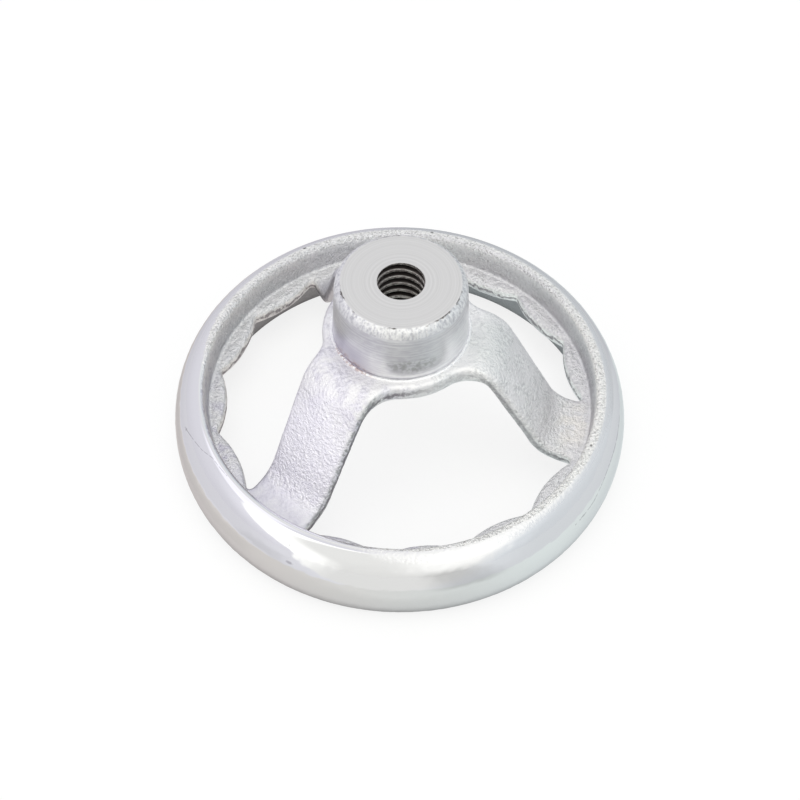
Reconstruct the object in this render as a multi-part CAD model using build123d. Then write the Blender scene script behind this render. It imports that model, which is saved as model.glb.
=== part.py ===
"""Dished three-spoke machine handwheel, cast in one piece of grey iron.

The wheel lies on the polished front face of its rim, hub up. The origin is the centre of that
face's plane, +Z runs along the bore to the machined face of the hub, and one spoke points along +Y.
All lengths are in millimetres and all angles in degrees.
"""
from build123d import *
import os
from math import asin, atan2, cos, radians, sin, sqrt

# ---- driving dimensions -------------------------------------------------------------------------
WHEEL_DIAMETER = 100.0      # over the polished rim
WHEEL_HEIGHT = 51.5         # front face of the rim to the machined face of the hub
SPOKE_COUNT = 3
FIRST_SPOKE_ANGLE = 90.0
LOBES_PER_WINDOW = 4        # finger lobes between two spokes; each spoke takes the place of one more

# hub: a turned boss with a tapped bore, standing on the cast web
HUB_FACE_RADIUS = 12.6      # flat machined face, inside its rounded edge band
HUB_EDGE_RADIUS = 13.9      # outside of the edge band
HUB_EDGE_DROP = 2.2         # height of the edge band
HUB_EDGE_BULGE = 0.3        # how far the band's middle stands proud of a plain chamfer
HUB_BASE_RADIUS = 14.3      # foot of the turned side, which has a little draft
HUB_BASE_FILLET = 0.5
HUB_FRONT_RADIUS = 12.0     # short boss on the front side, with its own machined face
HUB_FRONT_HEIGHT = 30.0     # height of that face above the rim's front face
HUB_FRONT_FILLET = 1.5
HUB_FRONT_CHAMFER = 0.8
BORE_RADIUS = 5.0           # crests of the 1/2 inch, 12 per inch thread
BORE_CHAMFER = 0.8          # lead-in at the front end; the rear end is left sharp

# web: one S-curved plate of revolution, from which the three windows are cut
PLATEAU_HEIGHT = 37.0       # upper surface of the web round the hub
PLATEAU_THICKNESS = 4.3
PLATEAU_RADIUS = 17.2       # where the upper surface starts to fall
UNDERSIDE_RADIUS = 18.6     # where the underside does, further out, so the spokes are thinner
UPPER_BENDS = (7.5, 7.9)    # bends of the upper surface, at the hub and at the flange
UNDERSIDE_BENDS = (3.6, 10.4)
FALL_END_RADIUS = 39.9      # where the web is level again
FLANGE_HEIGHT = 11.8        # upper surface of the finger flange, which the spokes run into
FLANGE_THICKNESS = 3.4

# windows between the spokes
BOSS_RADIUS = 16.6          # cast ledge round the foot of the hub
BOSS_CORNER_RADIUS = 6.5    # where the ledge runs into a spoke
SPOKE_ROOT_HALF_WIDTH = 8.8
SPOKE_WAIST_HALF_WIDTH = 7.8
SPOKE_WAIST_AT = 32.0       # distance of the waist from the axis
SPOKE_END_HALF_WIDTH = 7.9
SPOKE_END_AT = 40.5         # distance from the axis of a spoke's corner with the flange
SPOKE_CORNER_RADIUS = 0.8
LOBE_CREST_RADIUS = 38.4    # the lobes' nearest approach to the axis
LOBE_NOTCH_RADIUS = 40.9    # the notches between them
LOBE_NOTCH_FILLET = 0.6
WINDOW_EDGE_FILLET = 1.0    # upper and lower edges of every window

# rim: polished and convex outside, with a lip standing up behind the finger flange
LIP_HEIGHT = 17.9
LIP_CREST_RADIUS = 43.9
LIP_INNER_RADIUS = 42.9
LIP_ROOT_RADIUS = 42.3      # foot of the wall that rises from the flange to the lip
LIP_ROOT_FILLET = 0.6
EQUATOR_HEIGHT = 7.4        # height of the rim's largest circle
FRONT_FLAT_RADIUS = 46.7    # outside of the flat that the wheel lies on
FRONT_INNER_RADIUS = 43.8   # front edge of the finger space
FRONT_EDGE_FILLET = 0.6
FLANGE_ROOT_RADIUS = 41.9   # where the finger space meets the underside of the flange

# ---- values worked out from them ----------------------------------------------------------------
RIM_RADIUS = WHEEL_DIAMETER / 2
SPOKE_PITCH = 360 / SPOKE_COUNT
LOBE_PITCH = SPOKE_PITCH / (LOBES_PER_WINDOW + 1)


def fall(start, end, upper_radius, lower_radius):
    """One surface of the web's S-curve in the half section: bend, straight and bend, hub to rim."""
    upper_centre = start - Vector(0, upper_radius)
    lower_centre = end + Vector(0, lower_radius)
    across = lower_centre - upper_centre
    slope = asin((upper_radius + lower_radius) / across.length) - atan2(across.Y, across.X)

    def on_upper(angle):
        return upper_centre + Vector(upper_radius * sin(angle), upper_radius * cos(angle))

    def on_lower(angle):
        return lower_centre - Vector(lower_radius * sin(angle), lower_radius * cos(angle))

    return [
        ThreePointArc(on_upper(0), on_upper(slope / 2), on_upper(slope)),
        Line(on_upper(slope), on_lower(slope)),
        ThreePointArc(on_lower(slope), on_lower(slope / 2), on_lower(0)),
    ]


def wheel_profile():
    """Half section of the wheel as turned, before the windows: x is the radius and y the height."""
    underside = PLATEAU_HEIGHT - PLATEAU_THICKNESS
    flange_underside = FLANGE_HEIGHT - FLANGE_THICKNESS
    edge_top = Vector(HUB_FACE_RADIUS, WHEEL_HEIGHT)
    edge_foot = Vector(HUB_EDGE_RADIUS, WHEEL_HEIGHT - HUB_EDGE_DROP)
    edge_middle = (edge_top + edge_foot) / 2 + Vector(HUB_EDGE_BULGE, HUB_EDGE_BULGE)
    hub_foot = Vector(HUB_BASE_RADIUS, PLATEAU_HEIGHT)
    lip_root = Vector(LIP_ROOT_RADIUS, FLANGE_HEIGHT)
    lip_bend = LIP_CREST_RADIUS - LIP_INNER_RADIUS
    lip_wall_top = Vector(LIP_INNER_RADIUS, LIP_HEIGHT - lip_bend)
    front_inner = Vector(FRONT_INNER_RADIUS, 0)
    flange_root = Vector(FLANGE_ROOT_RADIUS, flange_underside)
    front_foot = Vector(HUB_FRONT_RADIUS, underside)
    front_edge = Vector(HUB_FRONT_RADIUS, HUB_FRONT_HEIGHT)
    bore_front = Vector(BORE_RADIUS, HUB_FRONT_HEIGHT)

    upper_fall = fall(
        Vector(PLATEAU_RADIUS, PLATEAU_HEIGHT),
        Vector(FALL_END_RADIUS, FLANGE_HEIGHT),
        *UPPER_BENDS,
    )
    lower_fall = fall(
        Vector(UNDERSIDE_RADIUS, underside),
        Vector(FALL_END_RADIUS, flange_underside),
        *UNDERSIDE_BENDS,
    )
    outline = [
        Line(bore_front, (BORE_RADIUS, WHEEL_HEIGHT)),
        Line((BORE_RADIUS, WHEEL_HEIGHT), edge_top),
        ThreePointArc(edge_top, edge_middle, edge_foot),
        Line(edge_foot, hub_foot),
        Line(hub_foot, upper_fall[0] @ 0),
        *upper_fall,
        Line(upper_fall[-1] @ 1, lip_root),
        Line(lip_root, lip_wall_top),
        CenterArc((LIP_CREST_RADIUS, LIP_HEIGHT - lip_bend), lip_bend, 90, 90),
        EllipticalCenterArc(
            (LIP_CREST_RADIUS, EQUATOR_HEIGHT),
            RIM_RADIUS - LIP_CREST_RADIUS,
            LIP_HEIGHT - EQUATOR_HEIGHT,
            start_angle=0,
            arc_size=90,
        ),
        EllipticalCenterArc(
            (FRONT_FLAT_RADIUS, EQUATOR_HEIGHT),
            RIM_RADIUS - FRONT_FLAT_RADIUS,
            EQUATOR_HEIGHT,
            start_angle=270,
            arc_size=90,
        ),
        Line((FRONT_FLAT_RADIUS, 0), front_inner),
        Line(front_inner, flange_root),
        Line(flange_root, lower_fall[-1] @ 1),
        *lower_fall,
        Line(lower_fall[0] @ 0, front_foot),
        Line(front_foot, front_edge),
        Line(front_edge, bore_front),
    ]
    section = make_face(outline)
    for corner, radius in [
        (hub_foot, HUB_BASE_FILLET),
        (lip_root, LIP_ROOT_FILLET),
        (front_inner, FRONT_EDGE_FILLET),
        (front_foot, HUB_FRONT_FILLET),
    ]:
        section = fillet(section.vertices().sort_by_distance(corner)[0], radius)
    for corner, length in [(front_edge, HUB_FRONT_CHAMFER), (bore_front, BORE_CHAMFER)]:
        section = chamfer(section.vertices().sort_by_distance(corner)[0], length)
    return section


def polar(radius, angle):
    """A point of the plan from its distance to the axis and its angle in degrees."""
    return Vector(radius * cos(radians(angle)), radius * sin(radians(angle)))


def window_outline():
    """Plan of one window, from the spoke that lies along +X round to the next spoke."""
    root_at = sqrt(BOSS_RADIUS**2 - SPOKE_ROOT_HALF_WIDTH**2)
    side = [
        Vector(root_at, SPOKE_ROOT_HALF_WIDTH),
        Vector(SPOKE_WAIST_AT, SPOKE_WAIST_HALF_WIDTH),
        Vector(SPOKE_END_AT, SPOKE_END_HALF_WIDTH),
    ]
    far_side = [Vector(point.X, -point.Y).rotate(Axis.Z, SPOKE_PITCH) for point in side]
    notches = [side[2]]
    for index in range(1, LOBES_PER_WINDOW):
        notches.append(polar(LOBE_NOTCH_RADIUS, (index + 1 / 2) * LOBE_PITCH))
    notches.append(far_side[2])

    edges = [ThreePointArc(*side)]
    for index in range(LOBES_PER_WINDOW):
        crest = polar(LOBE_CREST_RADIUS, (index + 1) * LOBE_PITCH)
        edges.append(ThreePointArc(notches[index], crest, notches[index + 1]))
    edges.append(ThreePointArc(far_side[2], far_side[1], far_side[0]))
    edges.append(ThreePointArc(far_side[0], polar(BOSS_RADIUS, SPOKE_PITCH / 2), side[0]))
    window = make_face(edges)

    rounded = [(side[2], SPOKE_CORNER_RADIUS), (far_side[2], SPOKE_CORNER_RADIUS)]
    rounded += [(notch, LOBE_NOTCH_FILLET) for notch in notches[1:-1]]
    rounded += [(side[0], BOSS_CORNER_RADIUS), (far_side[0], BOSS_CORNER_RADIUS)]
    for corner, radius in rounded:
        window = fillet(window.vertices().sort_by_distance(corner)[0], radius)
    return window


def handwheel():
    """The casting: turned body, three windows, and the cast-round edges of the windows."""
    turned = revolve(Plane.XZ * wheel_profile(), Axis.Z)
    cutter = extrude(window_outline(), WHEEL_HEIGHT)
    windows = [Rot(0, 0, FIRST_SPOKE_ANGLE + index * SPOKE_PITCH) * cutter for index in range(SPOKE_COUNT)]
    wheel = turned - windows

    rims = ShapeList()
    for edge in new_edges(turned, combined=wheel):
        ends_apart = (edge @ 1).Z - (edge @ 0).Z
        upright = edge.geom_type == GeomType.LINE and abs(ends_apart) > edge.length / 2
        if not upright:
            rims.append(edge)
    wheel = fillet(rims, WINDOW_EDGE_FILLET)
    return wheel


if __name__ == "__main__":
    os.makedirs("parts", exist_ok=True)
    part = handwheel()
    part.label = "handwheel"
    export_step(part, "parts/handwheel.step")
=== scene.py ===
"""Looks of the dished machine handwheel: one iron casting, plated, with a polished rim.

The casting is made of three forms that are merged into one closed mesh. The rim and the hub are
spun from their half sections, and the web between them is a finer copy of the CAD solid, with
the relief of its cast skin. The bore is cut with a tap. Lengths are in millimetres until MM
turns them to metres, and angles are in degrees.
"""
from math import atan2, cos, degrees, hypot, pi, radians, sin

import bpy
from mathutils import Matrix


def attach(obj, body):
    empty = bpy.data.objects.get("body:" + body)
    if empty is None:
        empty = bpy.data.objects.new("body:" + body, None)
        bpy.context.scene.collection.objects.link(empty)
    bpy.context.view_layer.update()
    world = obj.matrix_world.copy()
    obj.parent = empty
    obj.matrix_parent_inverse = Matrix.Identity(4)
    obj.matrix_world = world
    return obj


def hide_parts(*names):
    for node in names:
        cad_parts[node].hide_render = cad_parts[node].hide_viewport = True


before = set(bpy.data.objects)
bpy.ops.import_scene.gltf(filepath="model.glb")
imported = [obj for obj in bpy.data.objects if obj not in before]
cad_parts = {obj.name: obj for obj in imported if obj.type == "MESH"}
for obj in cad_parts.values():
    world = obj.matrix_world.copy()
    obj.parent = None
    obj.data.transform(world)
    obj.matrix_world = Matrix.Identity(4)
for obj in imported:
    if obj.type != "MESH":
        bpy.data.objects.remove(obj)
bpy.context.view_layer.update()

MM = 0.001

# ---- sizes, as in the part's source -------------------------------------------------------------
WHEEL_RADIUS = 50.0
EQUATOR_HEIGHT = 7.4
FRONT_FLAT_RADIUS = 46.7
FRONT_INNER_RADIUS = 43.8
FRONT_EDGE_FILLET = 0.6
LIP_HEIGHT = 17.9
LIP_CREST_RADIUS = 43.9
LIP_INNER_RADIUS = 42.9
LIP_ROOT_RADIUS = 42.3
FLANGE_TOP = 11.8
FLANGE_UNDERSIDE = 8.4
FLANGE_ROOT_RADIUS = 41.9

HUB_TOP = 51.5
HUB_FACE_RADIUS = 12.6
HUB_EDGE_RADIUS = 13.9
HUB_EDGE_DROP = 2.2
HUB_EDGE_BULGE = 0.3
HUB_BASE_RADIUS = 14.3
PLATEAU_HEIGHT = 37.0
HUB_FRONT_RADIUS = 12.0
HUB_FRONT_HEIGHT = 30.0
HUB_FRONT_CHAMFER = 0.8
BORE_CHAMFER = 0.8

# ---- sizes of the dressed mesh ------------------------------------------------------------------
RIM_STEPS = 420             # round the rim
HUB_STEPS = 240
ENVELOPE_STEPS = 360
BEAD_ANGLE = 72             # the steps of the rim's upper wall are finer from here up, on the bead
WEB_VOXEL = 0.44            # grid of the web's mesh
WEB_CUT_RADIUS = 41.5       # the web is taken from the solid out to here, on the level flange,
WEB_REACH = 43.0            # and drawn out to here, inside the rim
WEB_CORE_RADIUS = 11.0      # inside this radius the hub stands alone
WEB_LOW = -5.0              # the cut goes through below the casting, and up to here:
WEB_TOP = 37.2              # a little of the hub's foot stays on the web, under the hub's own mesh
SMOOTH_ANGLE = 40.0         # edges sharper than this stay sharp
SEAT = 0.06                 # how far a spun form stands outside the web's copy of it
BASE_BEAD = 0.36            # radius of the bright bead round the foot of the hub. Its centre, and
BASE_BEAD_AT = (0.4, -0.05)     # the groove above it, are steps out and up from the foot's corner
FOOT_GROOVE = ((SEAT, 0.55), (-0.1, 0.4), (0.2, 0.27))
NECK_HEIGHTS = (35.5, 34.0)     # between these the hub narrows to its front boss, inside the web
# The small fillet between the flange and the rim's inner wall, as steps out and up from its corner
WALL_FILLET = ((-0.62, -0.45), (-0.6, -0.02), (-0.28, 0.07), (-0.06, 0.28), (0.07, 0.6))

# Cloudy relief of the skin: size across, height, and the level of the clouds that stays in place
BEAD_LUMPS = (1.1, 0.14, 0.9)
WALL_LUMPS = (1.8, 0.12, 0.5)
HUB_EDGE_LUMPS = (0.9, 0.22, 1.0)
WEB_LUMPS = ((7.0, 0.24, 0.5), (1.7, 0.1, 0.5))

# Radius at which the rough bead on the lip gives way to the buffed wall, by heading
BEAD_EDGES = (
    (0.0, 45.3), (95.0, 45.3), (140.0, 45.0), (158.0, 43.6), (238.0, 43.6), (262.0, 44.3),
    (300.0, 44.9), (330.0, 45.3), (360.0, 45.3),
)
CALM_HEADING = 198.0        # on this side of the rim, and as far to either side, the bead is smooth
CALM_REACH = 38.0
CALM_SOFTNESS = 15.0
CALM_FOOT = 210.0           # the spoke at this heading has a smoother foot than the others
BUFFED_FROM = 46.0          # the rim is buffed on both halves outside this radius
BEAD_RADII = (42.8, 43.2)   # the bead on the lip begins at the first of these radii and heights,
BEAD_HEIGHTS = (16.6, 17.2)     # and is whole from the second ones

# 1/2 inch thread, 12 per inch
THREAD_PITCH = 25.4 / 12
THREAD_CREST_RADIUS = 5.0
THREAD_ROOT_RADIUS = 6.35
THREAD_STEPS = 60
THREAD_TURNS = 14
THREAD_TURNS_BELOW = 12     # of these, the turns below the uppermost whole crest
THREAD_CREST_AT = 49.13     # height of the uppermost whole crest at this angle round the bore
THREAD_CREST_HEADING = 71.0
THREAD_SHORT = 0.25         # the thread stops this far below the hub's face, in a thin ragged lip

# Distances from the axis, each with the heights of the web's upper and lower surface there
WEB_SURFACES = (
    (15.0, 37.0, 32.7), (18.0, 36.9, 32.7), (20.0, 36.5, 32.4), (21.0, 36.0, 31.8),
    (22.0, 35.3, 30.4), (23.0, 34.3, 28.5), (24.0, 32.7, 26.6), (31.0, 19.6, 13.6),
    (33.0, 15.9, 11.0), (35.0, 13.5, 9.6), (37.0, 12.4, 8.8), (39.0, 11.8, 8.4), (42.0, 11.8, 8.4),
)

# Zones of the cast skin. A pair says where a zone begins to show and where it is whole, and three
# numbers are its start, its end and the softness beyond them. Radii and heights are in mm, a reach
# is an angle to either side of a heading, and a depth goes from 0 on the web's upper surface to 1
# on its underside.
EDGE_FACING = (-0.42, -0.2)         # the normal's upward part, from the underside to the edges
WINDOW_RADII = (16.4, 41.9, 0.3)    # the edges of the windows
LOBE_RADII = (36.5, 38.0)           # their outer ends, along the rim
UPPER_EDGE_DEPTHS = (0.16, 0.45, 0.1)
UPPER_EDGE_RADII = (22.0, 26.0)     # the upper edge is duller inside these
# Painted shade lies along the windows' lower edges between these depths
SHADED_LOWER_EDGE_DEPTHS = (0.84, 0.94)
TORN_DEPTH = 0.48                   # the torn parting line along the windows' edges,
TORN_RADII = (36.0, 38.0, 0.25, 1.0)    # which is fainter inside these, except on the left side
LEFT_REACH = (80.0, 30.0)           # the left side, round CALM_FOOT
FOOT_REACH = (24.0, 16.0)           # the calm foot itself
FOOT_RADII = (34.0, 37.0)
FAR_HEADING = 80.0                  # the far side, round this heading
FAR_REACH = (80.0, 50.0)
# Painted shade on the far side lies inside these radii
FAR_SHADE_RADII = (40.0, 36.0)
# Painted highlights cover the rough bead, except that on the far side they keep to its crest
FAR_CREST_HIGHLIGHT_RADII = (43.4, 44.6)      # the bead's bright crest on the far side
ROUGH_BEAD_RADII = (45.3, 44.5, 0.3, 1.0)   # the bead is calmer towards its outer edge
# Painted shade darkens the spokes' side walls
SPOKE_SHADE_RADII = (22.0, 37.5, 2.0)    # the spokes' dark side walls
SPOKE_SHADE_DEPTHS = (0.26, 0.42)
# Painted shade greys the walls on the left side
LEFT_WALL_RADII = (20.0, 40.5, 2.0)     # the walls on the left side are grey
LEFT_WALL_DEPTHS = (0.04, 0.14)
# Painted shade darkens the steep wall inside the rim
RIM_WALL_RADII = (42.05, 42.35)     # the steep wall inside the rim
RIM_WALL_HEIGHTS = (18.0, 15.0)
# A painted highlight lies in the fillet at the root of that wall
FILLET_HIGHLIGHT_RADII = (41.75, 42.2, 0.2)     # the root of that wall, on the flange
FILLET_HIGHLIGHT_HEIGHTS = (11.7, 12.4, 0.3)
# Painted shade darkens the rim's inner side below the flange
UNDER_FLANGE_RADII = (41.6, 41.9)   # the rim's inner side, below the flange
UNDER_FLANGE_HEIGHTS = (8.7, 8.2)
# The left side's violet is a painted reflection of the room on that side
PAINTED_REFLECTION_RADII = (17.0, 24.0, 0.5, 1.0)     # the left side's violet fades towards the hub, and so do
WRINKLE_RADII = (17.0, 23.0, 0.45, 1.0)     # the wrinkles
# Painted light lifts the foot of the spoke at heading 330
PAINTED_LIGHT_FOOT = (((330.0, 39.0), (14.0, 5.0)),)     # spots as heading and radius with their half sizes
DULL_SHOULDER = (((330.0, 19.0), (30.0, 7.0)),)
# Painted light lifts the slope of the spoke at CALM_FOOT
PAINTED_LIGHT_SLOPE = (((CALM_FOOT, 29.5), (34.0, 11.0)),)

# Painted shade and a painted sheen on the hub's turned side, then grey and rust stains on it and
# rust at its foot, as heading and height with their half sizes
SIDE_SHADE = (((198.0, 38.5), (44.0, 7.0)),)
SIDE_SHEEN = (((292.0, 43.0), (26.0, 8.0)),)
SIDE_GREY_STAIN = (((262.0, 41.0), (30.0, 2.6)),)
SIDE_RUST_STAIN = (((204.0, 37.6), (30.0, 1.6)),)
FOOT_RUST = (((205.0, 37.2), (32.0, 1.0)),)
# A painted highlight lies on the bead at the hub's foot
FOOT_BEAD_HIGHLIGHT_HEIGHTS = (40.0, 39.0)         # the bead at the hub's foot lies below these
CREST_WEAR_RADII = (5.5, 5.15)      # the thread is worn bright inside these
# Turning marks to the mm on the hub's face and side, a little coarser than real ones so they show
RINGS_PER_MM = 2.2
LINES_PER_MM = 1.9

# Marks on the rim: scratches as lines of headings and radii on its upper half, with their half
# width, spots as heading and height with their half sizes, and pits as heading and radius
RIM_SCRATCHES = (
    (((174.6, 47.76), (184.8, 46.0), (189.0, 44.8), (196.3, 44.4)), 0.1),
    (((300.0, 49.56), (308.0, 49.44), (318.5, 48.8), (334.0, 48.4)), 0.07),
)
RIM_SPOTS = (((175.6, 15.7), (0.6, 0.4)), ((223.7, 12.6), (1.4, 0.5)), ((222.6, 16.1), (0.7, 0.25)))
UPPER_HALF = (EQUATOR_HEIGHT + 0.6, EQUATOR_HEIGHT + 1.6)   # heights where scratches begin to show
BEAD_PITS = (((319.0, 44.2), (0.6, 0.45)), ((101.0, 45.0), (0.8, 0.5)), ((62.0, 44.8), (0.7, 0.4)))

# ---- camera -------------------------------------------------------------------------------------
CAMERA_PLACE = (-82.57, -241.24, 346.68)
CAMERA_TURN = (37.243, -0.358, -18.429)
CAMERA_LENS = 85.5
CAMERA_SENSOR = 36.0
CAMERA_NEAR = 10.0

# ---- studio -------------------------------------------------------------------------------------
VIEW_HEADING = -19.0        # the camera's heading, measured from -Y towards +X; others are from it
WORLD_LIGHT = 0.75          # level of the surroundings as a light
LAMP_PLACE = (-60.0, -60.0, 900.0)
LAMP_SIZE = 700.0
LAMP_POWER = 2.4            # watts
FLOOR_SIZE = 4000.0
FLOOR_GAP = 0.02
FLOOR_GLOW = 0.8            # share of the floor that is plain white where it is seen

# The pale room that the metal mirrors: its walls, and a bright dome over the front. The dome's two
# lower edges are lines in heading and elevation: a point, the rise per degree, the softness, and
# how far below it a glow reaches.
WALL_LEVELS = (-15.0, 45.0, 0.92, 1.02)     # the walls' level at and between two elevations
DOME_EDGES = ((-45.0, 2.0, -1.07, 5.0, 30.0), (35.0, 5.0, 1.4, 34.0, 40.0))
DOME_TOP_EDGE = (46.0, 60.0)    # above this elevation the dome reaches further to the right
DOME_TOP_SIDE = (95.0, 120.0, 85.0)     # round this heading: out to 85 degrees, fading until 120
DOME_GAIN = 0.10                # the dome is so much brighter than the walls,
EDGE_GLOW = 0.12                # and the wall just below its edges is brighter by this
HORIZON = (-29.5, -32.5)        # elevations between which the wall gives way to the floor
SIDES = (-60.0, 50.0)           # headings between which the left side's hue turns to the right's
WALL_HUES = ("#F8F7FF", "#F5FAFE")
FLOOR_HUES = ("#FFF8F2", "#F3FDFB")
DOME_HUE = "#FEFEFB"
FLOOR_GAINS = (2.0, 48.0, -0.09, 0.15)  # the floor against the walls, left and right of these
MIRROR_HEIGHT = 10.5            # height on the rim from which the floor's elevations are reckoned
# Painted light and a painted shadow on the floor, seen only in the metal:
WINDOW_FLOOR_PAINTED_LIGHT = (48.0, 42.0, 1.0, 1.25)  # the floor inside the rim is brighter in the metal,
UNDER_RIM_PAINTED_SHADOW = (41.5, 45.0, 52.0, 0.18)    # and the floor under the rim is dark, so far from the axis
REPEATS = (1.2, 1.8, 1.0, 1.25)     # what the casting mirrors in itself is lifted a little
# A lamp along the dome's left edge: how far above the edge it reaches, its softness there, the
# headings where it ends and the brightness added. Then lamps in the dome, and panels elsewhere:
# heading and elevation of the middle, half width and height, softness of the edge, and brightness.
EDGE_LAMP = (26.0, 22.0, -20.0, -38.0, 0.5)
LAMPS = ((34, 52, 28, 40, 26, 0.34), (95, 74, 85, 26, 16, 0.3))
PANELS = (
    (21, -17, 9, 21, 13, -0.32), (150, -4, 32, 44, 6, -0.11), (180, -14, 24, 24, 20, -0.1),
    (-45, -21, 8, 9, 8, -0.12), (-105, -52, 60, 13, 8, -0.06), (-80, -30, 40, 3, 3, 0.11),
    (-112, 61, 42, 8, 5, 0.42),
)


# ---- tools --------------------------------------------------------------------------------------
# The setting that the second word of a node's kind gives
CHOICES = {
    "Math": "operation", "VectorMath": "operation", "MapRange": "interpolation_type",
    "Mix": "data_type", "TexNoise": "noise_dimensions",
}


def linear(colour):
    """An sRGB hex colour such as "#C8CACC" as linear RGBA."""
    channels = [int(colour[at : at + 2], 16) / 255 for at in (1, 3, 5)]
    return [c / 12.92 if c <= 0.04045 else ((c + 0.055) / 1.055) ** 2.4 for c in channels] + [1.0]


def add(tree, kind, *values):
    """Adds a shader node, such as "Math ADD" with its operation, and gives its first output.

    The values go to its inputs in their order, or by name where they are a dictionary. Each is a
    number, a colour or a socket to link. Values that are left over go to another such node, behind
    this one's output, so that a whole row can be added or multiplied.
    """
    name, _, choice = kind.partition(" ")
    node = tree.nodes.new("ShaderNode" + name)
    if choice:
        setattr(node, CHOICES[name], choice)
    sockets = [socket for socket in node.inputs if socket.enabled]
    pairs = list(zip(sockets, values))
    if values and isinstance(values[0], dict):
        pairs = [(node.inputs[name], value) for name, value in values[0].items()]
    for socket, value in pairs:
        if isinstance(value, bpy.types.NodeSocket):
            tree.links.new(value, socket)
        else:
            socket.default_value = linear(value) if isinstance(value, str) else value
    output = next((socket for socket in node.outputs if socket.enabled), None)
    rest = values[len(sockets) :]
    return add(tree, kind, output, *rest) if rest else output


def pick(*objects):
    """Selects these objects alone, and makes the first of them active."""
    bpy.ops.object.select_all(action="DESELECT")
    for item in objects:
        item.select_set(True)
    bpy.context.view_layer.objects.active = objects[0]


def finish_modifier(piece, kind, **settings):
    """Adds a modifier to the piece and applies it."""
    pick(piece)
    modifier = piece.modifiers.new(kind.title(), kind)
    for name, value in settings.items():
        setattr(modifier, name, value)
    bpy.ops.object.modifier_apply(modifier=modifier.name)


def merge_with(piece, other, operation):
    """Cuts, joins or keeps the overlap of the piece and another one, which is used up."""
    finish_modifier(
        piece, "BOOLEAN", object=other, operation=operation, solver="EXACT",
        material_mode="TRANSFER",
    )
    bpy.data.objects.remove(other)


def draw(name, outline):
    """A line through points of the XZ plane, each given as radius and height."""
    bpy.ops.object.select_all(action="DESELECT")
    first = outline[0]
    bpy.ops.mesh.primitive_plane_add(size=MM, location=(first[0] * MM, 0, first[1] * MM))
    piece = bpy.context.object
    piece.name = name
    bpy.ops.object.transform_apply()
    bpy.ops.object.mode_set(mode="EDIT")
    bpy.ops.mesh.select_mode(type="VERT")
    bpy.ops.mesh.select_all(action="SELECT")
    bpy.ops.mesh.merge(type="CENTER")
    for start, end in zip(outline, outline[1:]):
        step = ((end[0] - start[0]) * MM, 0, (end[1] - start[1]) * MM)
        bpy.ops.mesh.extrude_region_move(TRANSFORM_OT_translate={"value": step})
    bpy.ops.mesh.select_all(action="SELECT")
    bpy.ops.mesh.remove_doubles(threshold=0.001 * MM)
    bpy.ops.object.mode_set(mode="OBJECT")
    return piece


def spin(name, outline, steps):
    """A closed form of revolution round the Z axis, from its closed half section."""
    piece = draw(name, outline)
    bpy.ops.object.mode_set(mode="EDIT")
    bpy.ops.mesh.select_all(action="SELECT")
    bpy.ops.mesh.spin(steps=steps, angle=2 * pi, center=(0, 0, 0), axis=(0, 0, 1))
    bpy.ops.mesh.select_all(action="SELECT")
    bpy.ops.mesh.remove_doubles(threshold=0.001 * MM)
    bpy.ops.mesh.normals_make_consistent(inside=False)
    bpy.ops.object.mode_set(mode="OBJECT")
    return piece


def straight(start, end, spacing):
    """Points of a straight line, without its start."""
    count = max(1, round(hypot(end[0] - start[0], end[1] - start[1]) / spacing))
    return [
        (start[0] + (end[0] - start[0]) * k / count, start[1] + (end[1] - start[1]) * k / count)
        for k in range(1, count + 1)
    ]


def bow(centre, radii, first, last, count):
    """Points of an elliptic arc from one angle to another, without its start."""
    angles = [radians(first + (last - first) * k / count) for k in range(1, count + 1)]
    return [(centre[0] + radii[0] * cos(a), centre[1] + radii[1] * sin(a)) for a in angles]


# ---- finishes -----------------------------------------------------------------------------------
def new_finish(name):
    """An empty material with its output node."""
    material = bpy.data.materials.new(name)
    material.use_nodes = True
    material.node_tree.nodes.clear()
    add(material.node_tree, "OutputMaterial")
    return material


def cover(material, shader):
    """Puts the shader on the material's surface."""
    tree = material.node_tree
    tree.links.new(shader, tree.nodes["Material Output"].inputs["Surface"])


def per(size):
    """Scale of a pattern whose features are this many mm wide."""
    return 1 / (size * MM)


def place_on_wheel(tree):
    """Object coordinates, and from them the radius and the height in mm, and the heading."""
    place = add(tree, "TexCoord").node.outputs["Object"]
    parts = add(tree, "SeparateXYZ", place).node.outputs
    level = add(tree, "VectorMath MULTIPLY", place, (1.0, 1.0, 0.0))
    radius = add(tree, "Math DIVIDE", add(tree, "VectorMath LENGTH", level), MM)
    height = add(tree, "Math DIVIDE", parts["Z"], MM)
    angle = add(tree, "Math DEGREES", add(tree, "Math ARCTAN2", parts["Y"], parts["X"]))
    return place, radius, height, add(tree, "Math WRAP", angle, 360.0, 0.0)


def turned(tree, heading, zero):
    """A heading measured from another one, from -180 to 180 degrees."""
    return add(tree, "Math WRAP", add(tree, "Math SUBTRACT", heading, zero), 180.0, -180.0)


def around(tree, heading, middle, outside, inside):
    """1 out to the inside angle on either side of the middle, and 0 from the outside angle."""
    away = add(tree, "Math ABSOLUTE", turned(tree, heading, middle))
    return add(tree, "MapRange SMOOTHSTEP", away, outside, inside)


def within(tree, value, start, end, soft):
    """1 between the start and the end, and 0 beyond a soft edge outside them."""
    rise = add(tree, "MapRange SMOOTHSTEP", value, start - soft, start)
    fall = add(tree, "MapRange SMOOTHSTEP", value, end + soft, end)
    return add(tree, "Math MULTIPLY", rise, fall)


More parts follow.
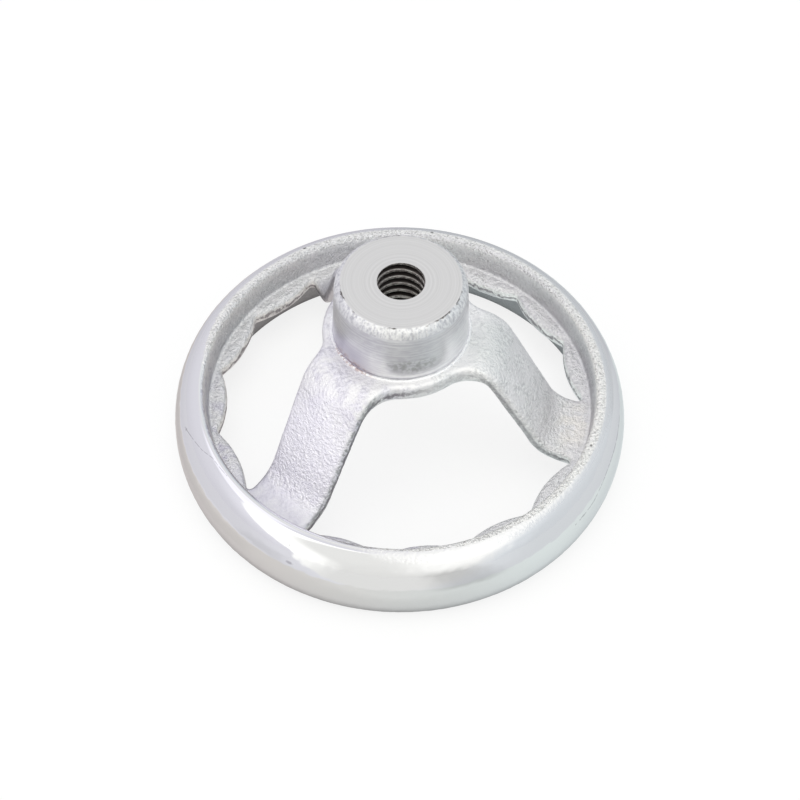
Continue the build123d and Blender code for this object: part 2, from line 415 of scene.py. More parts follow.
def spots(tree, heading, height, places):
    """Soft spots at places in heading and height, each with its half sizes: 1 in their middles."""
    found = 0.0
    for at, half_size in places:
        across = add(tree, "Math DIVIDE", turned(tree, heading, at[0]), half_size[0])
        up = add(tree, "Math DIVIDE", add(tree, "Math SUBTRACT", height, at[1]), half_size[1])
        away = add(tree, "VectorMath LENGTH", add(tree, "CombineXYZ", across, up))
        found = add(tree, "Math MAXIMUM", found, add(tree, "MapRange SMOOTHSTEP", away, 1.0, 0.3))
    return found


def scratches(tree, heading, radius, height):
    """The scratches on the upper half of the rim: 1 along their middles."""
    found = 0.0
    for line, half_width in RIM_SCRATCHES:
        for start, end in zip(line, line[1:]):
            level = add(tree, "MapRange", heading, start[0], end[0], start[1], end[1])
            away = add(tree, "Math ABSOLUTE", add(tree, "Math SUBTRACT", radius, level))
            near = add(tree, "MapRange SMOOTHSTEP", away, half_width, half_width / 3)
            near = add(tree, "Math MULTIPLY", near, within(tree, heading, start[0], end[0], 0.1))
            found = add(tree, "Math MAXIMUM", found, near)
    return add(tree, "Math MULTIPLY", found, add(tree, "MapRange SMOOTHSTEP", height, *UPPER_HALF))


def painted(tree, colour, *layers):
    """The colour under some layers, each given as where it lies, its share there and its colour."""
    for where, share, paint in layers:
        colour = add(tree, "Mix RGBA", add(tree, "Math MULTIPLY", where, share), colour, paint)
    return colour


def depth_in_web(tree, radius, height):
    """0 on the web's upper surface, 1 on its underside, and between them on the windows' edges."""
    first, last = WEB_SURFACES[0][0], WEB_SURFACES[-1][0]
    top = WEB_SURFACES[0][1]
    share = add(tree, "MapRange", radius, first, last)
    levels = []
    for side in (1, 2):
        curve = add(tree, "FloatCurve", {"Value": share})
        mapping = curve.node.mapping
        mapping.curves[0].points[0].location = (0.0, WEB_SURFACES[0][side] / top)
        mapping.curves[0].points[1].location = (1.0, WEB_SURFACES[-1][side] / top)
        for row in WEB_SURFACES[1:-1]:
            mapping.curves[0].points.new((row[0] - first) / (last - first), row[side] / top)
        mapping.update()
        levels.append(add(tree, "Math MULTIPLY", curve, top))
    below = add(tree, "Math SUBTRACT", levels[0], height)
    return add(tree, "Math DIVIDE", below, add(tree, "Math SUBTRACT", *levels))


def calm_side(tree, heading):
    """1 on the side of the rim where its lip was buffed almost smooth."""
    return around(tree, heading, CALM_HEADING, CALM_REACH + CALM_SOFTNESS, CALM_REACH)


def cast_skin():
    """Sand-cast iron under bright zinc plate: a silvery, finely wrinkled skin that sparkles, with
    painted shade, light and highlights.
    """
    material = new_finish("zinc_plated_cast_skin")
    tree = material.node_tree
    place, radius, height, heading = place_on_wheel(tree)
    wrinkles = add(tree, "TexNoise", place, per(0.68), 3.0, 0.62)
    grain = add(tree, "TexNoise", place, per(0.9), 3.0, 0.6)
    fine = add(tree, "TexNoise", place, per(0.5), 2.0)
    lumps = add(tree, "TexNoise", place, per(3.0))
    patches = add(tree, "TexNoise", place, per(5.0))
    depth = depth_in_web(tree, radius, height)
    facing = add(tree, "TexCoord").node.outputs["Normal"]
    facing = add(tree, "SeparateXYZ", facing).node.outputs["Z"]
    side_on = add(tree, "MapRange SMOOTHSTEP", facing, *EDGE_FACING)
    in_web = add(tree, "Math MULTIPLY", within(tree, radius, *WINDOW_RADII), side_on)
    lobe = add(tree, "MapRange SMOOTHSTEP", radius, *LOBE_RADII)
    left = around(tree, heading, CALM_FOOT, *LEFT_REACH)
    far = around(tree, heading, FAR_HEADING, *FAR_REACH)
    calm = calm_side(tree, heading)

    # the torn parting line along the middle of the windows' edges, and painted shade in their lower
    # corner
    wander = add(tree, "Math SUBTRACT", add(tree, "TexNoise", place, per(2.4), 3.0), 0.5)
    wander = add(tree, "Math ADD", depth, add(tree, "Math MULTIPLY", wander, 0.9))
    off_line = add(tree, "Math ABSOLUTE", add(tree, "Math SUBTRACT", wander, TORN_DEPTH))
    torn = add(
        tree, "Math MULTIPLY", in_web, add(tree, "MapRange SMOOTHSTEP", off_line, 0.2, 0.05),
        add(tree, "Math MAXIMUM", add(tree, "MapRange SMOOTHSTEP", radius, *TORN_RADII), left),
        add(tree, "MapRange SMOOTHSTEP", grain, 0.36, 0.5),
    )
    lower = add(tree, "MapRange SMOOTHSTEP", depth, *SHADED_LOWER_EDGE_DEPTHS)
    lower = add(tree, "Math MULTIPLY", in_web, lower)

    # the side walls of the spokes, darkened by painted shade, and the left side's walls, greyed by
    # painted shade
    spoke_wall_shade = add(
        tree, "Math MULTIPLY", side_on, within(tree, radius, *SPOKE_SHADE_RADII),
        add(tree, "MapRange SMOOTHSTEP", depth, *SPOKE_SHADE_DEPTHS),
        add(tree, "MapRange", left, 0.0, 1.0, 1.0, 0.3),
        add(tree, "MapRange", grain, 0.3, 0.7, 0.6, 1.0),
    )
    left_wall = add(
        tree, "Math MULTIPLY", side_on, left, within(tree, radius, *LEFT_WALL_RADII),
        add(tree, "MapRange SMOOTHSTEP", depth, *LEFT_WALL_DEPTHS),
    )
    # painted shade greys the left walls in patches
    grey = add(tree, "MapRange SMOOTHSTEP", grain, 0.56, 0.44, 0.2, 1.0)
    left_wall_shade = add(tree, "Math MULTIPLY", left_wall, grey)

    # coarse grains along the upper edge of the windows, with a painted highlight where they run
    # along the lobes, and finer ones on the rim's bead, with painted highlights there
    on_edge = add(
        tree, "Math MULTIPLY", in_web, within(tree, depth, *UPPER_EDGE_DEPTHS),
        add(tree, "MapRange", radius, *UPPER_EDGE_RADII, 0.4, 1.0),
    )
    speck = add(tree, "Math MULTIPLY", on_edge, add(tree, "MapRange SMOOTHSTEP", grain, 0.52, 0.34))
    bead = add(
        tree, "Math MULTIPLY", add(tree, "MapRange SMOOTHSTEP", radius, *BEAD_RADII),
        add(tree, "MapRange SMOOTHSTEP", height, *BEAD_HEIGHTS),
    )
    calm_bead = add(tree, "Math MULTIPLY", bead, calm)
    rough_bead = add(
        tree, "Math MULTIPLY", bead, add(tree, "Math SUBTRACT", 1.0, calm),
        add(tree, "MapRange SMOOTHSTEP", radius, *ROUGH_BEAD_RADII),
    )
    crest = add(tree, "MapRange SMOOTHSTEP", radius, *FAR_CREST_HIGHLIGHT_RADII)
    crest = add(tree, "Math MAXIMUM", crest, add(tree, "Math SUBTRACT", 1.0, far))
    pinholes = add(tree, "MapRange SMOOTHSTEP", fine, 0.46, 0.36)
    pinholes = add(tree, "Math MULTIPLY", rough_bead, pinholes)

    # the rim's inner side, above and below the flange: painted shade on the steep wall and below
    # the flange, and a painted highlight in the fillet at the wall's root
    rim_wall_shade = add(
        tree, "Math MULTIPLY", add(tree, "MapRange SMOOTHSTEP", radius, *RIM_WALL_RADII),
        add(tree, "MapRange SMOOTHSTEP", height, *RIM_WALL_HEIGHTS),
        add(tree, "MapRange", grain, 0.25, 0.75, 0.75, 1.25),
    )
    # painted highlight in the fillet at the wall's root
    root = within(tree, height, *FILLET_HIGHLIGHT_HEIGHTS)
    root = add(tree, "Math MULTIPLY", within(tree, radius, *FILLET_HIGHLIGHT_RADII), root)
    under_flange_shade = add(
        tree, "Math MULTIPLY", add(tree, "MapRange SMOOTHSTEP", radius, *UNDER_FLANGE_RADII),
        add(tree, "MapRange SMOOTHSTEP", height, *UNDER_FLANGE_HEIGHTS),
    )

    # the upper side of the web
    foot = add(
        tree, "Math MULTIPLY", around(tree, heading, CALM_FOOT, *FOOT_REACH),
        add(tree, "MapRange SMOOTHSTEP", radius, *FOOT_RADII),
    )
    # painted shade on the far side of the web
    far_painted_shade = add(tree, "MapRange SMOOTHSTEP", radius, *FAR_SHADE_RADII)
    far_painted_shade = add(tree, "Math MULTIPLY", far, far_painted_shade)
    # painted light on the foot of the spoke at heading 330, in patches
    painted_foot_light = add(
        tree, "Math MULTIPLY", spots(tree, heading, radius, PAINTED_LIGHT_FOOT),
        add(tree, "MapRange SMOOTHSTEP", lumps, 0.3, 0.6),
    )
    # painted reflection: the room's violet on the left side, fading towards the hub
    painted_violet_reflection = add(tree, "Math MULTIPLY", left, add(tree, "MapRange", radius, *PAINTED_REFLECTION_RADII))

    shine = add(tree, "MapRange SMOOTHSTEP", wrinkles, 0.38, 0.6)
    colour = painted(
        tree, add(tree, "Mix RGBA", shine, "#D6D6D6", "#F4F4F3"),
        (painted_violet_reflection, 0.2, "#9279C4"),
        (add(tree, "MapRange SMOOTHSTEP", lumps, 0.65, 0.4), 1.0, "#EDECEC"),
        (far_painted_shade, 0.4, "#ABA9B4"),
        (painted_foot_light, 0.62, "#FBF6EE"),
        (spots(tree, heading, radius, DULL_SHOULDER), 0.4, "#C9CDCB"),
        # painted light on that spoke's slope
        (spots(tree, heading, radius, PAINTED_LIGHT_SLOPE), 0.85, "#FBF9FF"),
        (foot, 0.6, "#D0CFD6"),
        (lobe, 0.2, "#C0C0C3"),
        (spoke_wall_shade, 0.6, "#77757B"),
        (left_wall_shade, 0.6, "#8D9291"),
        (rim_wall_shade, 0.38, "#9C9CA2"),
        (root, 0.3, "#F2F2F2"),
        (under_flange_shade, 0.7, "#7E7F82"),
        # painted highlights along the lobes' upper edges and on the rough bead
        (add(tree, "Math MULTIPLY", on_edge, lobe), 0.6, "#FFFFFE"),
        (add(tree, "Math MULTIPLY", rough_bead, crest), 0.5, "#FFFEF8"),
        (pinholes, 0.4, "#96958F"),
        (speck, 0.35, "#A3A39E"),
        (lower, 0.65, "#75707A"),
        (torn, 0.75, "#6C666C"),
        (add(tree, "Math MULTIPLY", spots(tree, heading, radius, BEAD_PITS), bead), 0.7, "#4C4A48"),
    )
    rough = add(tree, "MapRange", patches, 0.0, 1.0, 0.62, 0.42)
    rough = add(tree, "Math SUBTRACT", rough, add(tree, "Math MULTIPLY", calm_bead, 0.38))
    # the wrinkles are shallower on the calm foot and near the hub, and buffed away on the calm bead
    wrinkled = add(tree, "MapRange", foot, 0.0, 1.0, 1.0, 0.4)
    wrinkled = add(tree, "Math SUBTRACT", wrinkled, add(tree, "Math MULTIPLY", calm_bead, 0.55))
    outside = add(tree, "MapRange SMOOTHSTEP", radius, *WRINKLE_RADII)
    wrinkled = add(tree, "Math MULTIPLY", wrinkled, outside)
    coarse = add(tree, "Math MAXIMUM", on_edge, left_wall)
    normal = None
    for pattern, rise, share in (
        (lumps, 0.12, wrinkled), (wrinkles, 0.46, wrinkled), (grain, 0.34, coarse),
        (fine, 0.42, rough_bead),
    ):
        below = {"Normal": normal} if normal else {}
        normal = add(tree, "Bump", {
            "Height": pattern, "Distance": rise * MM, "Strength": share, **below,
        })
    cover(material, add(tree, "BsdfPrincipled", {
        "Base Color": colour, "Metallic": 1.0, "Roughness": rough, "Specular Tint": "#ACABB0",
        "Normal": normal,
    }))
    return material


def buffed_plate():
    """Turned iron, plated and buffed: it mirrors the room softly, with slight hand-made waves."""
    material = new_finish("buffed_zinc_plate")
    tree = material.node_tree
    place, radius, height, heading = place_on_wheel(tree)
    ripples = add(tree, "TexNoise", place, per(0.8))
    waves = add(tree, "TexNoise", place, per(7.0), 1.0)
    edge = add(
        tree, "Math MULTIPLY", add(tree, "Math SUBTRACT", 1.0, calm_side(tree, heading)),
        add(tree, "MapRange SMOOTHSTEP", height, BEAD_HEIGHTS[0], 17.5),
    )
    patchy = add(tree, "MapRange SMOOTHSTEP", add(tree, "TexNoise", place, per(0.9)), 0.35, 0.5)
    marks = scratches(tree, heading, radius, height)
    marks = add(tree, "Math MAXIMUM", spots(tree, heading, height, RIM_SPOTS), marks)
    marks = add(tree, "Math MULTIPLY", patchy, marks)
    normal = add(tree, "Bump", {"Height": ripples, "Distance": 0.1 * MM, "Strength": edge})
    normal = add(tree, "Bump", {"Height": waves, "Distance": 0.0045 * MM, "Normal": normal})
    cover(material, add(tree, "BsdfPrincipled", {
        "Base Color": painted(tree, "#DCDCDD", (marks, 0.45, "#77747A")), "Metallic": 1.0,
        "Roughness": add(tree, "MapRange", edge, 0.0, 1.0, 0.07, 0.3),
        "Specular Tint": "#E4E3E6", "Normal": normal,
    }))
    return material


def faced_iron():
    """The hub's faced end: bare grey iron with fine rings from the tool."""
    material = new_finish("faced_iron")
    tree = material.node_tree
    place, radius = place_on_wheel(tree)[:2]
    rings = add(tree, "TexNoise 1D", radius, RINGS_PER_MM, 3.0, 0.6)
    patchy = add(tree, "MapRange SMOOTHSTEP", add(tree, "TexNoise", place, per(2.5)), 0.5, 0.6)
    ragged = add(tree, "Math ADD", radius, add(tree, "TexNoise", place, per(1.5)))
    ragged = add(
        tree, "MapRange SMOOTHSTEP", ragged, HUB_FACE_RADIUS + 0.45, HUB_FACE_RADIUS + 0.6,
    )
    colour = add(tree, "Mix RGBA", rings, "#C9C8C6", "#DDDCDB")
    cover(material, add(tree, "BsdfPrincipled", {
        "Base Color": painted(tree, colour, (ragged, patchy, "#5E5A56")),
        "Metallic": 1.0, "Roughness": 0.55,
        "Normal": add(tree, "Bump", {"Height": rings, "Distance": 0.012 * MM}),
    }))
    return material


def turned_plate():
    """The hub's turned side under plate: satin, with faint level lines, and painted shade at its
    foot.
    """
    material = new_finish("turned_zinc_plate")
    tree = material.node_tree
    place, _, height, heading = place_on_wheel(tree)
    lines = add(tree, "TexNoise 1D", height, LINES_PER_MM, 2.0, 0.6)
    stretched = add(tree, "VectorMath MULTIPLY", place, (0.3, 0.3, 1.0))
    streaks = add(tree, "TexNoise", stretched, per(0.6), 2.0)
    cloud = add(tree, "TexNoise", place, per(4.0), 3.0)
    patchy = add(tree, "MapRange SMOOTHSTEP", add(tree, "TexNoise", place, per(0.9)), 0.4, 0.6)
    drawn = add(tree, "MapRange SMOOTHSTEP", add(tree, "Math ADD", lines, streaks), 0.8, 1.2)
    grey = add(tree, "Math MULTIPLY", spots(tree, heading, height, SIDE_GREY_STAIN), patchy)
    rusty = add(tree, "Math MULTIPLY", spots(tree, heading, height, SIDE_RUST_STAIN), patchy)
    colour = painted(
        tree, add(tree, "Mix RGBA", drawn, "#C6C5CA", "#DADBDC"),
        (cloud, 0.6, "#D2D2D4"),
        # painted shade low on the left side, and a painted sheen on the right
        (spots(tree, heading, height, SIDE_SHADE), 0.8, "#A8A5B1"),
        (spots(tree, heading, height, SIDE_SHEEN), 0.3, "#EEF0F0"),
        (grey, 0.45, "#85877F"),
        (rusty, 0.3, "#A07F78"),
    )
    normal = add(tree, "Bump", {"Height": lines, "Distance": 0.024 * MM})
    normal = add(tree, "Bump", {"Height": streaks, "Distance": 0.05 * MM, "Normal": normal})
    cover(material, add(tree, "BsdfPrincipled", {
        "Base Color": colour, "Metallic": 1.0, "Roughness": 0.32, "Normal": normal,
    }))
    return material


def torn_edge():
    """The hub's rounded edge and the bead at its foot: bright plate over a rough, torn surface, and
    a painted highlight on the bead.
    """
    material = new_finish("torn_zinc_edge")
    tree = material.node_tree
    place, _, height, heading = place_on_wheel(tree)
    combed = add(tree, "VectorMath MULTIPLY", place, (1.0, 1.0, 0.4))
    grain = add(tree, "TexNoise", combed, per(0.6))
    top = add(tree, "Math ADD", height, add(tree, "Math MULTIPLY", grain, 0.5))
    tears = add(
        tree, "Math MULTIPLY", add(tree, "MapRange SMOOTHSTEP", top, HUB_TOP - 0.05, HUB_TOP + 0.2),
        add(tree, "MapRange SMOOTHSTEP", add(tree, "TexNoise", place, per(2.5)), 0.54, 0.64),
    )
    rust = add(
        tree, "Math MULTIPLY", spots(tree, heading, height, FOOT_RUST),
        add(tree, "MapRange SMOOTHSTEP", grain, 0.45, 0.6),
    )
    shine = add(tree, "MapRange SMOOTHSTEP", grain, 0.3, 0.6)
    colour = painted(
        tree, add(tree, "Mix RGBA", shine, "#C2C2C5", "#E4E4E4"),
        # painted highlight on the bead at the hub's foot
        (add(tree, "MapRange SMOOTHSTEP", height, *FOOT_BEAD_HIGHLIGHT_HEIGHTS), 0.55, "#FFFFFF"),
        (rust, 0.6, "#97706A"),
        (tears, 1.0, "#6B6765"),
    )
    cover(material, add(tree, "BsdfPrincipled", {
        "Base Color": colour, "Metallic": 1.0, "Roughness": 0.38,
        "Normal": add(tree, "Bump", {"Height": grain, "Distance": 0.26 * MM}),
    }))
    return material


def oxidised_thread():
    """The tapped bore: brown-black oxide in the roots, and crests worn to grey."""
    material = new_finish("oxidised_thread")
    tree = material.node_tree
    place, radius = place_on_wheel(tree)[:2]
    grain = add(tree, "TexNoise", place, per(0.7))
    crest = add(tree, "Math ADD", radius, add(tree, "Math MULTIPLY", grain, 0.3))
    crest = add(tree, "MapRange SMOOTHSTEP", crest, *CREST_WEAR_RADII)
    worn = add(tree, "MapRange SMOOTHSTEP", grain, 0.4, 0.6)
    worn = add(tree, "Mix RGBA", worn, "#96908E", "#CBC8C4")
    cover(material, add(tree, "BsdfPrincipled", {
        "Base Color": add(tree, "Mix RGBA", crest, "#2B2524", worn),
        "Metallic": 0.7, "Roughness": 0.45,
        "Normal": add(tree, "Bump", {"Height": grain, "Distance": 0.08 * MM}),
    }))
    return material


# ---- forms --------------------------------------------------------------------------------------
def whereabouts(place):
    """Distance to the axis and height of a place in mm, and its heading."""
    return hypot(place.x, place.y) / MM, place.z / MM, degrees(atan2(place.y, place.x)) % 360


def bead_edge(heading):
    """Radius at which the rough bead on the lip ends, at this heading."""
    for start, end in zip(BEAD_EDGES, BEAD_EDGES[1:]):
        if start[0] <= heading <= end[0]:
            return start[1] + (end[1] - start[1]) * (heading - start[0]) / (end[0] - start[0])


def dress(piece, finishes, choose):
    """Gives each face the finish whose number is chosen from its radius, height and heading."""
    for finish in finishes:
        piece.data.materials.append(finish)
    for face in piece.data.polygons:
        face.material_index = choose(*whereabouts(face.center))


def lump(piece, size, height, level, choose):
    """Raises cloudy relief on the piece, weighted by each vertex's radius, height and heading."""
    group = piece.vertex_groups.new(name="relief")
    for vertex in piece.data.vertices:
        weight = choose(*whereabouts(vertex.co))
        group.add([vertex.index], min(max(weight, 0), 1), "REPLACE")
    clouds = bpy.data.textures.new("clouds", "CLOUDS")
    clouds.noise_scale = size * MM
    finish_modifier(
        piece, "DISPLACE", texture=clouds, texture_coords="LOCAL", vertex_group="relief",
        strength=height * MM, mid_level=level,
    )
    piece.vertex_groups.clear()


def make_rim():
    """The rim: polished outer wall, rough lip and the steep wall inside it."""
    lip_bend = LIP_CREST_RADIUS - LIP_INNER_RADIUS
    outline = [(LIP_ROOT_RADIUS + out, FLANGE_TOP + up) for out, up in WALL_FILLET]
    start, wall_foot = outline[0], outline[-1]
    outline += straight(wall_foot, (LIP_INNER_RADIUS, LIP_HEIGHT - lip_bend), 0.36)
    outline += bow((LIP_CREST_RADIUS, LIP_HEIGHT - lip_bend), (lip_bend, lip_bend), 180, 90, 5)
    upper = (WHEEL_RADIUS - LIP_CREST_RADIUS, LIP_HEIGHT - EQUATOR_HEIGHT)
    outline += bow((LIP_CREST_RADIUS, EQUATOR_HEIGHT), upper, 90, BEAD_ANGLE, 6)
    outline += bow((LIP_CREST_RADIUS, EQUATOR_HEIGHT), upper, BEAD_ANGLE, 0, 22)
    lower = (WHEEL_RADIUS - FRONT_FLAT_RADIUS, EQUATOR_HEIGHT)
    outline += bow((FRONT_FLAT_RADIUS, EQUATOR_HEIGHT), lower, 0, -90, 14)
    flat_end = (FRONT_INNER_RADIUS + FRONT_EDGE_FILLET, 0)
    outline += straight(outline[-1], flat_end, 1.0)
    outline += bow((flat_end[0], FRONT_EDGE_FILLET), (FRONT_EDGE_FILLET,) * 2, -90, -180, 3)
    outline += straight(outline[-1], (FLANGE_ROOT_RADIUS, FLANGE_UNDERSIDE), 0.8)
    outline += straight(outline[-1], start, 1.5)
    rim = spin("rim", outline, RIM_STEPS)

    def buffed(radius, height, heading):
        on_lip = height > EQUATOR_HEIGHT and radius > bead_edge(heading)
        on_front = height < FRONT_EDGE_FILLET - 0.1 and radius > FRONT_INNER_RADIUS + 0.3
        return int(on_lip or on_front or radius > BUFFED_FROM)

    dress(rim, [FINISHES["cast"], FINISHES["buffed"]], buffed)

    def on_bead(radius, height, heading):
        calm = 1 - (abs(heading - CALM_HEADING) - CALM_REACH) / CALM_SOFTNESS
        reach = (bead_edge(heading) + 0.1 - radius) * (1 - min(max(calm, 0), 0.9))
        return (height - BEAD_HEIGHTS[0]) * reach if radius > BEAD_RADII[0] else 0

    def on_wall(radius, height, heading):
        inside = radius < LIP_INNER_RADIUS + 0.1 and height < BEAD_HEIGHTS[1]
        return (height - wall_foot[1]) * 2 if inside else 0

    lump(rim, *BEAD_LUMPS, on_bead)
    lump(rim, *WALL_LUMPS, on_wall)
    return rim


def make_hub():
    """The hub: faced top with its edge band, turned side, and the short boss at the front."""
    edge_top = (HUB_FACE_RADIUS, HUB_TOP)
    edge_foot = (HUB_EDGE_RADIUS, HUB_TOP - HUB_EDGE_DROP)
    bore = THREAD_CREST_RADIUS - 0.01
    outline = [(bore, HUB_TOP), (HUB_FACE_RADIUS / 2, HUB_TOP)]
    outline += [(HUB_FACE_RADIUS - 0.35, HUB_TOP), edge_top]
    for k in range(1, 7):
        along = k / 6
        bulge = HUB_EDGE_BULGE * 4 * along * (1 - along)
        outline.append((
            edge_top[0] + (edge_foot[0] - edge_top[0]) * along + bulge,
            edge_top[1] + (edge_foot[1] - edge_top[1]) * along + bulge,
        ))
    groove = [(HUB_BASE_RADIUS + out, PLATEAU_HEIGHT + up) for out, up in FOOT_GROOVE]
    bead = (HUB_BASE_RADIUS + BASE_BEAD_AT[0], PLATEAU_HEIGHT + BASE_BEAD_AT[1])
    outline += straight(edge_foot, groove[0], 1.0) + groove[1:]
    outline += bow(bead, (BASE_BEAD,) * 2, 130, -10, 5)
    outline += [(HUB_BASE_RADIUS, NECK_HEIGHTS[0]), (HUB_FRONT_RADIUS + SEAT, NECK_HEIGHTS[1])]
    front = HUB_FRONT_HEIGHT - SEAT
    outline += straight(outline[-1], (HUB_FRONT_RADIUS + SEAT, front + HUB_FRONT_CHAMFER), 1.0)
    outline += [(HUB_FRONT_RADIUS + SEAT - HUB_FRONT_CHAMFER, front)]
    outline += [(bore + BORE_CHAMFER, front), (bore, front + BORE_CHAMFER), (bore, HUB_TOP)]
    hub = spin("hub", outline, HUB_STEPS)

    def region(radius, height, heading):
        if height > HUB_TOP - 0.01 or height < HUB_FRONT_HEIGHT:
            return 0
        if radius < THREAD_CREST_RADIUS + BORE_CHAMFER:
            return 3
        on_foot = radius > HUB_BASE_RADIUS + 0.1 and height < PLATEAU_HEIGHT + FOOT_GROOVE[1][1]
        return 1 if height > HUB_TOP - HUB_EDGE_DROP or on_foot else 2

    dress(hub, [FINISHES[name] for name in ("faced", "torn", "turned", "thread")], region)

    def on_edge(radius, height, heading):
        below_face = radius > HUB_FACE_RADIUS - 0.01 and height < HUB_TOP - 0.1
        return (height - HUB_TOP + HUB_EDGE_DROP) * 2 if below_face else 0

    lump(hub, *HUB_EDGE_LUMPS, on_edge)
    merge_with(hub, make_tap(), "DIFFERENCE")
    return hub


def make_tap():
    """A tap, longer than the bore, that leaves the thread's crests and roots behind."""
    low = THREAD_CREST_AT - THREAD_PITCH * THREAD_TURNS_BELOW
    profile = [
        (THREAD_CREST_RADIUS, low - THREAD_PITCH / 8),
        (THREAD_CREST_RADIUS, low + THREAD_PITCH / 8),
        (THREAD_ROOT_RADIUS, low + THREAD_PITCH * 7 / 16),
        (THREAD_ROOT_RADIUS, low + THREAD_PITCH * 9 / 16),
        (THREAD_CREST_RADIUS, low + THREAD_PITCH * 7 / 8),
    ]
    tap = draw("tap", profile)
    finish_modifier(
        tap, "SCREW", axis="Z", screw_offset=THREAD_PITCH * MM, iterations=THREAD_TURNS,
        steps=THREAD_STEPS, render_steps=THREAD_STEPS,
    )
    top = (HUB_TOP - THREAD_SHORT) * MM
    pick(tap)
    bpy.ops.object.mode_set(mode="EDIT")
    bpy.ops.mesh.select_all(action="SELECT")
    bpy.ops.mesh.remove_doubles(threshold=0.001 * MM)
    bpy.ops.mesh.bisect(plane_co=(0, 0, top), plane_no=(0, 0, 1), clear_outer=True, use_fill=True)
    bpy.ops.mesh.select_all(action="DESELECT")
    bpy.ops.mesh.select_non_manifold()
    bpy.ops.mesh.extrude_region_move(TRANSFORM_OT_translate={"value": (0, 0, 0)})
    bpy.ops.mesh.merge(type="CENTER")
    bpy.ops.mesh.select_all(action="SELECT")
    bpy.ops.mesh.normals_make_consistent(inside=False)
    bpy.ops.object.mode_set(mode="OBJECT")
    pick(tap)
    tap.data.transform(Matrix.Rotation(radians(THREAD_CREST_HEADING), 4, "Z"))
    tap.data.materials.clear()
    tap.data.materials.append(FINISHES["thread"])
    return tap


def make_web():
    """The web between rim and hub, on a fine even mesh."""
    pick(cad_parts["handwheel"])
    bpy.ops.object.duplicate()
    web = bpy.context.object
    web.name = "web"
    web.parent = None
    web.data.materials.clear()
    web.data.materials.append(FINISHES["cast"])
    for key in list(web.keys()):
        del web[key]
    bpy.ops.object.mode_set(mode="EDIT")
    bpy.ops.mesh.select_all(action="SELECT")
    bpy.ops.mesh.remove_doubles(threshold=0.001 * MM)
    bpy.ops.object.mode_set(mode="OBJECT")

    envelope = spin("envelope", [
        (WEB_CORE_RADIUS, WEB_LOW), (WEB_CUT_RADIUS, WEB_LOW), (WEB_CUT_RADIUS, WEB_TOP),
        (WEB_CORE_RADIUS, WEB_TOP), (WEB_CORE_RADIUS, WEB_LOW),
    ], ENVELOPE_STEPS)
    merge_with(web, envelope, "INTERSECT")
    for vertex in web.data.vertices:
        radius = hypot(vertex.co.x, vertex.co.y) / MM
        if radius > WEB_CUT_RADIUS - 0.01:
            vertex.co.x *= WEB_REACH / radius
            vertex.co.y *= WEB_REACH / radius
    finish_modifier(web, "REMESH", mode="VOXEL", voxel_size=WEB_VOXEL * MM, adaptivity=0.0)
    finish_modifier(web, "SMOOTH", factor=0.5, iterations=2)

    def skin(radius, height, heading):
        inner = HUB_BASE_RADIUS + 0.7 if height > PLATEAU_HEIGHT - 2.0 else HUB_FRONT_RADIUS + 1.6
        return min(radius - inner, (FLANGE_ROOT_RADIUS - 0.1 - radius) * 2)

    for lumps in WEB_LUMPS:
        lump(web, *lumps, skin)
    return web


def make_casting():
    """The whole casting as one closed mesh."""
    casting = make_rim()
    casting.name = "handwheel_casting"
    merge_with(casting, make_web(), "UNION")
    merge_with(casting, make_hub(), "UNION")
    pick(casting)
    bpy.ops.object.shade_smooth_by_angle(angle=radians(SMOOTH_ANGLE))
    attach(casting, "root")
    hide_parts("handwheel")
    return casting


# ---- studio -------------------------------------------------------------------------------------
def make_camera():
    """The camera, above the front left of the wheel."""
    bpy.ops.object.camera_add(
        location=[value * MM for value in CAMERA_PLACE],
        rotation=[radians(value) for value in CAMERA_TURN],
    )
    camera = bpy.context.object
    camera.data.lens = CAMERA_LENS
    camera.data.sensor_width = CAMERA_SENSOR
    camera.data.clip_start = CAMERA_NEAR * MM
    bpy.context.scene.camera = camera


def seen_directly(tree):
    """1 for rays from the camera and for mirrored or refracted ones, which show the background."""
    path = add(tree, "LightPath").node.outputs
    mirrored = add(tree, "Math MAXIMUM", path["Is Glossy Ray"], path["Is Transmission Ray"])
    return add(tree, "Math MAXIMUM", path["Is Camera Ray"], mirrored), path["Is Camera Ray"]


